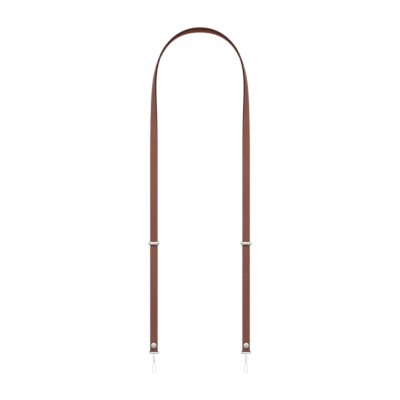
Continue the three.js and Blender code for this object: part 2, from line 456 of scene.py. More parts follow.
def rounded_rectangle(half_width: float, half_height: float, corner: float,
                      steps: int) -> tuple[np.ndarray, np.ndarray]:
    """Outline of a rectangle with rounded corners, counter-clockwise.

    Args:
        half_width: Half its size along the first axis.
        half_height: Half its size along the second axis.
        corner: Radius of the corners.
        steps: Steps in each corner.

    Returns:
        Points and outward directions, two columns each.
    """
    turn = np.linspace(0.0, math.pi / 2, steps + 1)
    angle = np.concatenate([turn + quarter * math.pi / 2 for quarter in range(4)])
    outward = np.column_stack([np.cos(angle), np.sin(angle)])
    signs = np.array([[1, 1], [-1, 1], [-1, -1], [1, -1]])
    mids = signs * [half_width - corner, half_height - corner]
    return np.repeat(mids, steps + 1, axis=0) + corner * outward, outward


def swept(path: np.ndarray, outward: np.ndarray, section: np.ndarray) -> np.ndarray:
    """Carries a section round a flat path.

    Args:
        path: Points of the path, two columns.
        outward: Outward direction at each point, two columns.
        section: Columns of place outward from the path, and along the axis that it goes round.

    Returns:
        Points of the copies, one after the other, with the axis as the third column.
    """
    return np.concatenate([np.column_stack([spot + section[:, :1] * way, section[:, 1]])
                           for spot, way in zip(path, outward)])


def place_object(name: str, mesh: bpy.types.Mesh,
                 material: Optional[bpy.types.Material] = None) -> bpy.types.Object:
    """Puts a mesh into the scene as an object at the origin.

    Args:
        name: Name of the object.
        mesh: Its mesh.
        material: Its only material, or none to keep the mesh's own.

    Returns:
        The object.
    """
    if material is not None:
        mesh.materials.clear()
        mesh.materials.append(material)
    piece = bpy.data.objects.new(name, mesh)
    bpy.context.scene.collection.objects.link(piece)
    return piece


def baked(host: bpy.types.Object, modifier: bpy.types.Modifier) -> bpy.types.Mesh:
    """Mesh of an object with a modifier's result in it, and the modifier taken off.

    Args:
        host: The object.
        modifier: Its only modifier.

    Returns:
        A new mesh.
    """
    graph = bpy.context.evaluated_depsgraph_get()
    mesh = bpy.data.meshes.new_from_object(host.evaluated_get(graph))
    host.modifiers.remove(modifier)
    return mesh


def hand_over(piece: bpy.types.Object, body: str, node: str) -> None:
    """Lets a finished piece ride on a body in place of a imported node.

    Args:
        piece: The finished piece.
        body: Body that carries it.
        node: Node that it replaces.
    """
    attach(piece, body)
    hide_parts(node)
    LOG.info("%s: %d faces on %s", piece.name, len(piece.data.polygons), body)


@dataclass
class Bands:
    """Sections along a band, one row for each."""

    grain: np.ndarray  # middle of the grain face
    across: np.ndarray
    out: np.ndarray
    width: np.ndarray
    thick: np.ndarray
    cut: np.ndarray  # 1 where the whole section is a painted end

    def columns(self) -> list[np.ndarray]:
        """The fields in order."""
        return [self.grain, self.across, self.out, self.width, self.thick, self.cut]

    @staticmethod
    def joined(parts: Sequence["Bands"]) -> "Bands":
        """Stretches of a band in one."""
        return Bands(*(np.concatenate(same) for same in zip(*(part.columns() for part in parts))))

    def mirrored(self) -> "Bands":
        """The same stretch on the other side, run the other way, without the section they share."""
        flips = [np.array([-1.0, 1.0, 1.0])] * 3 + [1.0] * 3
        return Bands(*((column * flip)[:0:-1] for column, flip in zip(self.columns(), flips)))


@dataclass
class NeckStrap:
    """The leather band: an arch whose legs turn to the front and fold back round the rings."""

    finish: LeatherFinish = LeatherFinish()
    width: float = 0.010
    thick: float = 0.0025
    fold_thick: float = 0.0010
    skive: float = 0.0042  # over which it thins above the ring
    tail_thick: float = 0.00135
    tail_tip: float = 0.0008
    tail_taper: float = 0.005
    tail_corner: float = 0.0016
    tail_rise: float = 0.00795  # above the keeper's middle
    edge_round: float = 0.0006
    edge_share: float = 0.4  # most of the thickness that an edge's rounding may take
    crowning: float = 0.00006
    paint_span: Span = (0.35, 0.8)  # outward turn from the faces to the painted edge
    flesh_shade_reach: float = 0.0075  # reach of the painted shade that darkens the flesh side from its front edge
    # share of the edge paint's colour in that painted shade
    flesh_shade_share: float = 0.65
    flesh_turn: float = 0.3
    flatness: float = 0.22  # share of the curvature that is missing in the crown's middle
    ease_ratio: float = 5.05  # length of the straightening shoulder over that of the crown
    crown_tilt: float = math.radians(23.2)
    tilt_end: float = 0.050
    turn_start: float = 0.041
    turn_end: float = 0.222
    fold_radius: float = 0.0020
    press_depth: float = 0.0002
    press_radius: float = 0.0035
    press_fade: float = 0.0013
    # painted shade round each rivet cap, and where the fold faces down below the ring's bar
    rivet_shade: float = 0.45
    fold_shade_span: Span = (0.15, 0.5)
    fold_shade: float = 0.95
    hole_radius: float = 0.0013
    hole_sides: int = 36
    step: float = 0.0016
    fine_step: float = 0.00045
    fine_reach: float = 0.01747  # above the ring's bar
    march: int = 4000  # steps in which the arch's reach is summed
    march_parts: int = 40  # steps summed for each section of the arch
    fold_steps: int = 32
    taper_steps: int = 7
    corner_steps: int = 12
    edge_steps: int = 5
    face_steps: int = 12
    side_steps: int = 3
    face_turn: float = 0.9  # least outward turn of what counts as a flat face

    def __post_init__(self) -> None:
        """Finds the right leg's ring and keeper in the frame."""
        self.bar = middle("ring_right") + [0.0, 0.0, RING_REACH / 2]
        self.tail_top = middle("keeper_right")[2] + self.tail_rise
        self.fine_from = self.bar[2] + self.fine_reach

    def heading(self, length: np.ndarray) -> np.ndarray:
        """How far the arch's middle line has turned down.

        Args:
            length: Length along it, in units of the flattened crown's.

        Returns:
            Angle below the level in radians.
        """
        ratio = self.ease_ratio
        near = np.minimum(length, 1.0)
        crown = near - self.flatness * (near - 2.0 * near ** 3 / 3.0 + near ** 5 / 5.0)
        fade = np.clip((length - 1.0) / ratio, 0.0, 1.0)
        shoulder = ratio * (fade - fade ** 3 + fade ** 4 / 2)
        whole = 1.0 - self.flatness * 8.0 / 15.0 + ratio / 2
        return math.pi / 2 * (crown + shoulder) / whole

    def arch(self) -> Bands:
        """Sections from the crown down to where the right leg faces the front.

        Returns:
            The sections.
        """
        ends = (np.arange(self.march) + 0.5) / self.march * (1.0 + self.ease_ratio)
        reach = np.cos(self.heading(ends)).sum() * (1.0 + self.ease_ratio) / self.march
        unit = self.bar[0] / reach
        count = int(round(self.turn_end / self.step))
        steps = count * self.march_parts
        part = self.turn_end / steps
        turned = self.heading((np.arange(steps) + 0.5) * part / unit)
        x = np.concatenate([[0.0], np.cumsum(np.cos(turned) * part)])[::self.march_parts]
        z = np.concatenate([[0.0], np.cumsum(-np.sin(turned) * part)])[::self.march_parts]
        z = z + self.thick / 2 / math.cos(self.crown_tilt)
        length = np.linspace(0.0, self.turn_end, count + 1)
        down = self.heading(length / unit)
        roll = math.pi / 2 * smooth(length, self.turn_start, self.turn_end)
        roll = roll - self.crown_tilt * (1.0 - smooth(length, 0.0, self.tilt_end))
        nothing = np.zeros_like(length)
        above = np.column_stack([np.sin(down), nothing, np.cos(down)])
        front = np.column_stack([nothing, nothing - 1.0, nothing])
        cosine = np.cos(roll)[:, None]
        sine = np.sin(roll)[:, None]
        out = above * cosine + front * sine
        grain = np.column_stack([x, nothing, z]) + out * self.thick / 2
        return Bands(grain, front * cosine - above * sine, out, nothing + self.width,
                     nothing + self.thick, nothing)

    def upright(self, heights: np.ndarray, face: Union[float, np.ndarray], outward: float,
                thick: np.ndarray, width: Union[float, np.ndarray]) -> Bands:
        """Sections of a straight stretch of the right leg.

        Args:
            heights: Height of each section.
            face: Where its grain face lies from front to back.
            outward: Way the grain faces, -1 to the front or 1 to the back.
            thick: Thickness of each section.
            width: Width of each section.

        Returns:
            The sections.
        """
        nothing = np.zeros_like(heights)
        return Bands(np.column_stack([nothing + self.bar[0], nothing + face, heights]),
                     np.column_stack([nothing - 1.0, nothing, nothing]),
                     np.column_stack([nothing, nothing + outward, nothing]),
                     nothing + width, nothing + thick, nothing)

    def levels(self, start: float, stop: float) -> np.ndarray:
        """Evenly stepped heights, close together near the fold.

        Args:
            start: First height, which is left out.
            stop: Last height.

        Returns:
            The heights.
        """
        step = self.fine_step if min(start, stop) < self.fine_from else self.step
        count = max(2, int(round(abs(stop - start) / step)))
        return np.linspace(start, stop, count + 1)[1:]

    def skived(self, heights: np.ndarray, full: float) -> np.ndarray:
        """Thickness of leather that thins towards the fold."""
        share = smooth(heights, self.bar[2], self.bar[2] + self.skive)
        return self.fold_thick + (full - self.fold_thick) * share

    def fold(self) -> Bands:
        """Sections round the right ring's top bar.

        Returns:
            The sections.
        """
        turn = np.linspace(0.0, math.pi, self.fold_steps + 1)[1:-1]
        nothing = np.zeros_like(turn)
        out = np.column_stack([nothing, -np.cos(turn), -np.sin(turn)])
        return Bands(self.bar + out * self.fold_radius,
                     np.column_stack([nothing - 1.0, nothing, nothing]), out,
                     nothing + self.width, nothing + self.fold_thick, nothing)

    def tail(self) -> Bands:
        """Sections of the right leg's tail, up to its rounded tip.

        Returns:
            The sections.
        """
        taper_from = self.tail_top - self.tail_taper
        corner_from = self.tail_top - self.tail_corner
        rise = np.concatenate([self.bar[2:], self.levels(self.bar[2], self.fine_from),
                               self.levels(self.fine_from, taper_from)])
        sweep = np.linspace(0.0, math.pi / 2, self.corner_steps + 1)[1:]
        taper = np.linspace(rise[-1], corner_from, self.taper_steps + 1)[1:]
        corner = self.tail_top - self.tail_corner * (1.0 - np.sin(sweep))
        heights = np.concatenate([rise, taper, corner])
        thinned = (self.tail_thick - self.tail_tip) * smooth(heights, taper_from, self.tail_top)
        past = np.clip((heights - self.tail_top) / self.tail_corner + 1.0, 0.0, 1.0)
        narrow = self.width - 2.0 * self.tail_corner * (1.0 - np.sqrt(1.0 - past ** 2))
        tail = self.upright(heights, self.bar[1] + self.fold_radius - thinned, 1.0,
                            self.skived(heights, self.tail_thick) - thinned, narrow)
        tail.cut[-1] = 1.0
        return tail

    def right_half(self) -> Bands:
        """Sections from the crown to the tip of the right tail.

        Returns:
            The sections.
        """
        arch = self.arch()
        heights = np.concatenate([self.levels(arch.grain[-1, 2], self.fine_from),
                                  self.levels(self.fine_from, self.bar[2])])
        leg = self.upright(heights, self.bar[1] - self.fold_radius, -1.0,
                           self.skived(heights, self.thick), self.width)
        return Bands.joined([arch, leg, self.fold(), self.tail()])

    def section(self, width: float, thick: float) -> np.ndarray:
        """Outline of the band's section, counter-clockwise about the band's run.

        Args:
            width: Width of the band there.
            thick: Thickness of the band there.

        Returns:
            Columns of place across, depth under the grain, and outward direction by both.
        """
        corner = min(self.edge_round, thick * self.edge_share)
        outline, outward = rounded_rectangle(width / 2, thick / 2, corner, self.edge_steps)
        table = np.hstack([outline, outward])
        size = self.edge_steps + 1
        rows = []
        for quarter in range(4):
            bend = table[quarter * size:(quarter + 1) * size]
            last = bend[-1]
            following = table[(quarter + 1) * size % len(table)]
            count = self.face_steps if quarter % 2 == 0 else self.side_steps
            share = np.linspace(0.0, 1.0, count + 1)[1:-1, None]
            line = last[:2] + (following[:2] - last[:2]) * share
            rows += [bend, np.hstack([line, np.repeat(last[None, 2:], count - 1, axis=0)])]
        table = np.concatenate(rows)
        crown = self.crowning * np.clip(1.0 - (2.0 * table[:, 0] / width) ** 2, 0.0, 1.0)
        on_grain = table[:, 3] < -self.face_turn
        table[:, 1] += thick / 2 - np.where(on_grain, crown, 0.0)
        return table

    def skin(self, bands: Bands, rivets: Sequence[np.ndarray]) -> bpy.types.Mesh:
        """Skins the band's sections, with the rivets' caps pressed into the leather.

        Args:
            bands: Sections from the left tail's tip to the right one's.
            rivets: Middle of each rivet.

        Returns:
            A mesh with edge, flesh and painted_shade attributes.
        """
        points = []
        paint_and_shade_rows = []
        fleshes = []
        for grain, across, out, width, thick, cut in zip(*bands.columns()):
            table = self.section(width, thick)
            points.append(grain + table[:, :1] * across - table[:, 1:2] * out)
            inset = self.width / 2 - table[:, 0]
            # Painted shade: the flesh side darkens from its front edge, mixed into the edge paint
            flesh_shade = (1.0 - smooth(inset, 0.0, self.flesh_shade_reach)) * (table[:, 3] > self.flesh_turn)
            painted = np.maximum(smooth(np.abs(table[:, 2]), *self.paint_span), cut)
            paint_and_shade_rows.append(np.maximum(painted, flesh_shade * self.flesh_shade_share))
            fleshes.append(smooth(table[:, 3], -self.flesh_turn, self.flesh_turn))
        sides = len(points[0])
        cloud = np.concatenate(points)
        flesh = np.concatenate(fleshes)
        inward = np.repeat(-bands.out, sides, axis=0)
        press = np.zeros(len(cloud))
        for rivet in rivets:
            away = np.hypot(cloud[:, 0] - rivet[0], cloud[:, 2] - rivet[2])
            reach = self.press_radius + self.press_fade
            press += (1.0 - flesh) * (1.0 - smooth(away, self.press_radius, reach))
        mesh = plain_mesh("strap", cloud + inward * (press * self.press_depth)[:, None],
                          loft_faces(len(points), sides, False))
        # Painted shade under the fold where it faces down, and round the rivet caps
        facing_down = smooth(inward[:, 2], *self.fold_shade_span) * (cloud[:, 2] < self.bar[2])
        painted_shade = np.maximum(press * self.rivet_shade, facing_down * self.fold_shade)
        painted = np.concatenate(paint_and_shade_rows)
        for name, values in (("edge", painted), ("flesh", flesh), ("painted_shade", painted_shade)):
            mesh.attributes.new(name, "FLOAT", "POINT").data.foreach_set("value", values)
        return mesh

    def pierce(self, strap: bpy.types.Object, rivets: Sequence[np.ndarray]) -> None:
        """Makes the holes for the rivets' shanks.

        Args:
            strap: The band.
            rivets: Middle of each rivet.
        """
        turned = Matrix.Rotation(math.pi / 2, 4, "X")
        turned = turned @ Matrix.Rotation(math.pi / self.hole_sides, 4, "Z")
        for rivet in rivets:
            punch = bmesh.new()
            bmesh.ops.create_cone(punch, cap_ends=True, segments=self.hole_sides,
                                  radius1=self.hole_radius, radius2=self.hole_radius,
                                  depth=self.width,
                                  matrix=Matrix.Translation(rivet.tolist()) @ turned)
            mesh = bpy.data.meshes.new("punch")
            punch.to_mesh(mesh)
            punch.free()
            tool = place_object("punch", mesh)
            cut = strap.modifiers.new("hole", "BOOLEAN")
            cut.operation = "DIFFERENCE"
            cut.solver = "MANIFOLD"
            cut.object = tool
            strap.data = baked(strap, cut)
            bpy.data.objects.remove(tool)

    def build(self) -> None:
        """Makes the whole band and hands it over."""
        half = self.right_half()
        rivets = [middle(side.named("rivet")) for side in Side]
        skin = self.skin(Bands.joined([half.mirrored(), half]), rivets)
        strap = place_object("leather_strap", skin)
        self.pierce(strap, rivets)
        self.dress(strap)
        hand_over(strap, "strap", "strap")

    def dress(self, strap: bpy.types.Object) -> None:
        """Gives the band its leather.

        Args:
            strap: The band.
        """
        strap.data.name = "leather_strap"
        strap.data.materials.clear()
        strap.data.materials.append(self.finish.material())


@dataclass
class LegPiece:
    """A piece of one material that each leg has."""

    KIND: ClassVar[str]
    SLOT: ClassVar[Slot] = Slot.NICKEL

    side: Side
    material: bpy.types.Material

    def node(self) -> str:
        """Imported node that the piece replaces."""
        return self.side.named(self.KIND)

    def carrier(self) -> str:
        """Body that carries the piece."""
        return self.node()

    def dress(self, title: str, mesh: bpy.types.Mesh) -> bpy.types.Object:
        """Gives a finished mesh its material and hands it over.

        Args:
            title: Kind of piece, for the object's name.
            mesh: The mesh.

        Returns:
            The finished piece.
        """
        piece = place_object(self.side.named(title), mesh, self.material)
        hand_over(piece, self.carrier(), self.node())
        return piece


@dataclass
class Keeper(LegPiece):
    """A domed metal loop round a leg and its tail."""

    KIND = "keeper"

    half_width: float = 0.0053
    half_depth: float = 0.0023
    corner: float = 0.0009
    wall: float = 0.0018
    rim: float = 0.0005
    height: float = 0.0039
    corner_steps: int = 14
    dome_steps: int = 28
    rim_steps: int = 5

    def section(self) -> np.ndarray:
        """Section of the wall, with its inner face open.

        Returns:
            Columns of place outward and height.
        """
        angle = np.linspace(-math.pi / 2, math.pi / 2, self.dome_steps + 1)
        dome = np.column_stack([self.rim + (self.wall - self.rim) * np.cos(angle),
                                self.height / 2 * np.sin(angle)])
        inner = (self.height - self.rim) / 2
        turn = np.linspace(0.0, math.pi / 2, self.rim_steps + 1)[1:]
        lower = np.column_stack([self.rim * (1.0 - np.sin(turn)),
                                 -inner - self.rim / 2 * np.cos(turn)])[::-1]
        upper = np.column_stack([lower[::-1, 0], -lower[::-1, 1]])
        return np.concatenate([lower, dome, upper])[::-1]

    def build(self) -> None:
        """Sweeps the domed section round the leg and hands the loop over."""
        section = self.section()
        path, outward = rounded_rectangle(self.half_width, self.half_depth, self.corner,
                                          self.corner_steps)
        points = middle(self.node()) + swept(path, outward, section)
        faces = loft_faces(len(path), len(section), True)
        self.dress("metal_keeper", plain_mesh(self.node(), points, faces))


@dataclass
class Rivet(LegPiece):
    """A double cap rivet through the leg and its tail."""

    KIND = "rivet"

    cap: float = 0.0035
    shank: float = 0.0012
    crest: float = 0.0038
    shoulder: float = 0.00275
    seat: float = 0.00182
    lip: float = 0.00012
    dome_steps: int = 20
    lip_steps: int = 5
    segments: int = 72

    def carrier(self) -> str:
        """Body that carries the rivet."""
        return "strap"

    def profile(self) -> np.ndarray:
        """Profile of one cap, from its crest to the middle of the shank.

        Returns:
            Columns of radius and height.
        """
        angle = np.linspace(0.0, math.pi / 2, self.dome_steps + 1)
        dome = np.column_stack([self.cap * np.sin(angle),
                                self.shoulder + (self.crest - self.shoulder) * np.cos(angle)])
        curl = np.linspace(0.0, math.pi / 2, self.lip_steps + 1)
        rim = np.column_stack([self.cap - self.lip * (1.0 - np.cos(curl)),
                               self.seat + self.lip * (1.0 - np.sin(curl))])
        return np.concatenate([dome, rim, [[self.shank, self.seat], [self.shank, 0.0]]])

    def build(self) -> None:
        """Spins both caps and their shank and hands the rivet over."""
        upper = self.profile()
        lower = np.column_stack([upper[:, 0], -upper[:, 1]])[::-1]
        rows = np.concatenate([upper, lower[1:]])[1:-1]
        angle = np.arange(self.segments) / self.segments * 2.0 * math.pi
        rings = np.array([[[r * math.cos(a), -h, r * math.sin(a)] for a in angle] for r, h in rows])
        tips = np.array([[0.0, -self.crest, 0.0], [0.0, self.crest, 0.0]])
        points = np.concatenate([rings.reshape(-1, 3), tips]) + middle(self.node())
        faces = loft_faces(len(rings), self.segments, False)[:-2]
        front = len(points) - 2
        last = (len(rings) - 1) * self.segments
        for k in range(self.segments):
            after = (k + 1) % self.segments
            faces.append([front, after, k])
            faces.append([front + 1, last + k, last + after])
        self.dress("cap_rivet", plain_mesh(self.node(), points, [face[::-1] for face in faces]))


@dataclass
class WireRing(LegPiece):
    """A rectangular wire ring held in the fold."""

    KIND = "ring"

    half_width: float = 0.00585
    half_height: float = RING_REACH / 2
    corner: float = 0.0017
    wire: float = 0.00065
    corner_steps: int = 16
    wire_steps: int = 28

    def build(self) -> None:
        """Sweeps the wire round its rectangle and hands the ring over."""
        path, outward = rounded_rectangle(self.half_width, self.half_height, self.corner,
                                          self.corner_steps)
        angle = np.arange(self.wire_steps) / self.wire_steps * 2.0 * math.pi
        section = self.wire * np.column_stack([np.cos(angle), np.sin(angle)])
        points = middle(self.node()) + swept(path, outward, section)[:, [0, 2, 1]]
        faces = loft_faces(len(path), len(section), True)
        self.dress("wire_ring", plain_mesh(self.node(), points, faces))


@dataclass(frozen=True)
class Winding:
    """How strands lie round a path, with a round core inside them."""

    step: float
    strands: int
    pitch: float
    lay_radius: float
    strand_radius: float
    core_radius: float
    weave: float = 0.0
    lay: Lay = Lay.TWIST
    end_round: float = 0.0001
    end_narrow: float = 0.0

    def inputs(self) -> dict[str, Union[float, int, bool]]:
        """The sizes as the strand tree takes them.

        Returns:
            Values by the names of the tree's inputs.
        """
        return {"Step": self.step, "Strands": self.strands, "Pitch": self.pitch,
                "Lay Radius": self.lay_radius, "Strand Radius": self.strand_radius,
                "Core Radius": self.core_radius, "Weave": self.weave, "Both Ways": self.lay.value,
                "End Round": self.end_round, "End Narrow": self.end_narrow}


class StrandTree:
    """Geometry Nodes tree that lays strands round a path of edges."""

    INPUTS = {"Path": "NodeSocketGeometry", "Step": "NodeSocketFloat", "Strands": "NodeSocketInt",
              "Pitch": "NodeSocketFloat", "Lay Radius": "NodeSocketFloat",
              "Strand Radius": "NodeSocketFloat", "Weave": "NodeSocketFloat",
              "Both Ways": "NodeSocketBool", "Core Radius": "NodeSocketFloat",
              "End Round": "NodeSocketFloat", "End Narrow": "NodeSocketFloat",
              "Material": "NodeSocketMaterial"}
    STRAND_SIDES = 8
    CORE_SIDES = 16

    def __init__(self) -> None:
        """Makes the tree with its named inputs and its nodes."""
        self.tree = bpy.data.node_groups.new("laid strands", "GeometryNodeTree")
        self.sockets = {}
        for label, kind in self.INPUTS.items():
            socket = self.tree.interface.new_socket(name=label, in_out="INPUT", socket_type=kind)
            self.sockets[label] = socket.identifier
        self.tree.interface.new_socket(name="Cord", in_out="OUTPUT",
                                       socket_type="NodeSocketGeometry")
        self.sketch = NodeSketch(self.tree)
        self.wire()

    def offset(self, given: bpy.types.bpy_prop_collection,
               index: bpy.types.NodeSocket) -> bpy.types.NodeSocket:
        """How far each point of a strand lies from the path.

        Args:
            given: The tree's inputs.
            index: Number of the strand.

        Returns:
            The offset's socket.
        """
        s = self.sketch
        both = given["Both Ways"]
        length = s.add("GeometryNodeSplineParameter").outputs["Length"]
        total = s.add("GeometryNodeSplineLength").outputs["Length"]
        parity = s.math("MULTIPLY", s.math("MODULO", index, 2.0), both)
        sign = s.math("MULTIPLY_ADD", parity, -2.0, 1.0)
        paired = s.math("FLOOR", s.math("DIVIDE", index, s.math("ADD", both, 1.0)))
        ways = s.math("DIVIDE", given["Strands"], s.math("ADD", both, 1.0))
        start = s.math("MULTIPLY", s.math("DIVIDE", paired, ways), 2.0 * math.pi)
        run = s.math("MULTIPLY", s.math("DIVIDE", length, given["Pitch"]), 2.0 * math.pi)
        angle = s.math("MULTIPLY_ADD", run, sign, start)
        wave = s.math("COSINE", s.math("MULTIPLY", angle, ways))
        radius = s.math("MULTIPLY_ADD", s.math("MULTIPLY", wave, sign), given["Weave"],
                        given["Lay Radius"])
        inside = s.math("MINIMUM", length, s.math("SUBTRACT", total, length))
        share = s.math("MINIMUM", s.math("DIVIDE", inside, given["End Round"]), 1.0)
        eased = s.math("POWER", s.math("SUBTRACT", 1.0, share), 2.0)
        radius = s.math("SUBTRACT", radius, s.math("MULTIPLY", eased, given["End Narrow"]))
        normal = s.add("GeometryNodeInputNormal").outputs["Normal"]
        tangent = s.add("GeometryNodeInputTangent").outputs["Tangent"]
        side = s.vector("CROSS_PRODUCT", tangent, normal)
        way = s.vector("ADD", s.scaled(normal, s.math("COSINE", angle)),
                       s.scaled(side, s.math("SINE", angle)))
        return s.scaled(way, radius)

    def tube(self, path: bpy.types.NodeSocket, radius: Source, sides: int) -> bpy.types.NodeSocket:
        """Round tube along a curve, closed at both ends.

        Args:
            path: The curve.
            radius: Radius of the tube.
            sides: Number of its sides.

        Returns:
            The tube's socket.
        """
        profile = self.sketch.add("GeometryNodeCurvePrimitiveCircle",
                                  {"Resolution": sides, "Radius": radius}, mode="RADIUS")
        return self.sketch.add("GeometryNodeCurveToMesh",
                               {"Curve": path, "Profile Curve": profile.outputs["Curve"],
                                "Fill Caps": True}).outputs["Mesh"]

    def wire(self) -> None:
        """Builds the tree's nodes."""
        s = self.sketch
        given = s.add("NodeGroupInput").outputs
        curve = s.add("GeometryNodeMeshToCurve", {"Mesh": given["Path"]}).outputs["Curve"]
        even = s.add("GeometryNodeResampleCurve", {"Curve": curve, "Length": given["Step"]},
                     mode="LENGTH").outputs["Curve"]
        copies = s.add("GeometryNodeDuplicateElements",
                       {"Geometry": even, "Amount": given["Strands"]}, domain="SPLINE").outputs
        offset = self.offset(given, copies["Duplicate Index"])
        laid = s.add("GeometryNodeSetPosition",
                     {"Geometry": copies["Geometry"], "Offset": offset}).outputs["Geometry"]
        strands = self.tube(laid, given["Strand Radius"], self.STRAND_SIDES)
        core = self.tube(even, given["Core Radius"], self.CORE_SIDES)
        joined = s.add("GeometryNodeJoinGeometry", {"Geometry": strands})
        s.put(joined.inputs["Geometry"], core)
        real = s.add("GeometryNodeRealizeInstances", {"Geometry": joined.outputs["Geometry"]})
        shaded = s.add("GeometryNodeSetShadeSmooth", {"Geometry": real.outputs["Geometry"]})
        dressed = s.add("GeometryNodeSetMaterial", {"Geometry": shaded.outputs["Geometry"],
                                                    "Material": given["Material"]})
        s.add("NodeGroupOutput", {0: dressed.outputs["Geometry"]})

    def lay(self, name: str, path: np.ndarray, winding: Winding,
            material: bpy.types.Material) -> bpy.types.Mesh:
        """Lays strands along a path.

        Args:
            name: Name of the result.
            path: Points of the path.
            winding: How the strands lie.
            material: What they are made of.

        Returns:
            A plain mesh.
        """
        mesh = bpy.data.meshes.new(name)
        mesh.from_pydata(path.tolist(), [(i, i + 1) for i in range(len(path) - 1)], [])
        host = place_object(name, mesh)
        modifier = host.modifiers.new("strands", "NODES")
        modifier.node_group = self.tree
        modifier[self.sockets["Material"]] = material
        for label, value in winding.inputs().items():
            modifier[self.sockets[label]] = value
        laid = baked(host, modifier)
        laid.name = name
        bpy.data.objects.remove(host)
        bpy.data.meshes.remove(mesh)
        return laid


@dataclass
class CordPiece(LegPiece):
    """A piece of white cord that rides on a ring."""

    SLOT = Slot.CORD

    strands: StrandTree

    def carrier(self) -> str:
        """Body that carries the cord."""
        return self.side.named("ring")

    def bar(self) -> np.ndarray:
        """Middle of the ring's lower bar."""
        return middle(self.side.named("ring")) - [0.0, 0.0, RING_REACH / 2]


@dataclass
class CordNeck(CordPiece):
    """The bound neck of a cord, with its eye round the ring's lower bar."""

    KIND = "cord_neck"

    radius: float = 0.00115
    top: float = -0.0013
    foot: float = -0.0092
    thread: float = 0.00015
    thread_inset: float = 0.6  # in threads
    thread_pitch: float = 1.35  # in threads
    turn_steps: int = 20
    end_round: float = 0.0024
    end_narrow: float = 0.0003
    eye_radius: float = 0.00025
    eye_bend: float = 0.0011
    eye_lean: float = math.radians(25.0)
    eye_tuck: float = 0.0006
    eye_pitch: float = 0.0016
    eye_lay: float = 0.52  # this and the next two in eye radii
    eye_strand: float = 0.5
    eye_core: float = 0.3
    eye_strands: int = 3
    eye_step: float = 0.00006
    eye_points: int = 41

    def binding(self) -> bpy.types.Mesh:
        """Thread wound tightly from the foot of the neck to its top.

        Returns:
            The thread's mesh.
        """
        inset = self.thread * self.thread_inset
        pitch = self.thread * self.thread_pitch
        path = self.bar() + np.array([[0.0, 0.0, self.foot + inset], [0.0, 0.0, self.top - inset]])
        winding = Winding(step=pitch / self.turn_steps, strands=1, pitch=pitch,
                          lay_radius=self.radius - self.thread, strand_radius=self.thread,
                          core_radius=self.radius - self.end_narrow - self.thread / 2,
                          end_round=self.end_round, end_narrow=self.end_narrow)
        return self.strands.lay("neck binding", path, winding, self.material)

    def eye(self) -> bpy.types.Mesh:
        """Twisted cord that comes out of the neck, goes over the bar and back in.

        Returns:
            The cord's mesh.
        """
        angle = np.linspace(math.pi + self.eye_lean, -self.eye_lean, self.eye_points)
        arc = np.column_stack([np.zeros_like(angle), self.eye_bend * np.cos(angle),
                               self.eye_bend * np.sin(angle)])
        deep = self.top - self.eye_tuck
        inset = arc[-1, 1] - (arc[-1, 2] - deep) * math.tan(self.eye_lean)
        path = self.bar() + np.vstack([[0.0, -inset, deep], arc, [0.0, inset, deep]])
        winding = Winding(step=self.eye_step, strands=self.eye_strands, pitch=self.eye_pitch,
                          lay_radius=self.eye_radius * self.eye_lay,
                          strand_radius=self.eye_radius * self.eye_strand,
                          core_radius=self.eye_radius * self.eye_core)
        return self.strands.lay("neck eye", path, winding, self.material)

    def build(self) -> None:
        """Joins the eye and the binding into one piece and hands it over."""
        whole = bmesh.new()
        for mesh in (self.binding(), self.eye()):
            whole.from_mesh(mesh)
            bpy.data.meshes.remove(mesh)
        joined = bpy.data.meshes.new(self.side.named("neck"))
        whole.to_mesh(joined)
        whole.free()
        joined.shade_smooth()
        self.dress("bound_neck", joined)


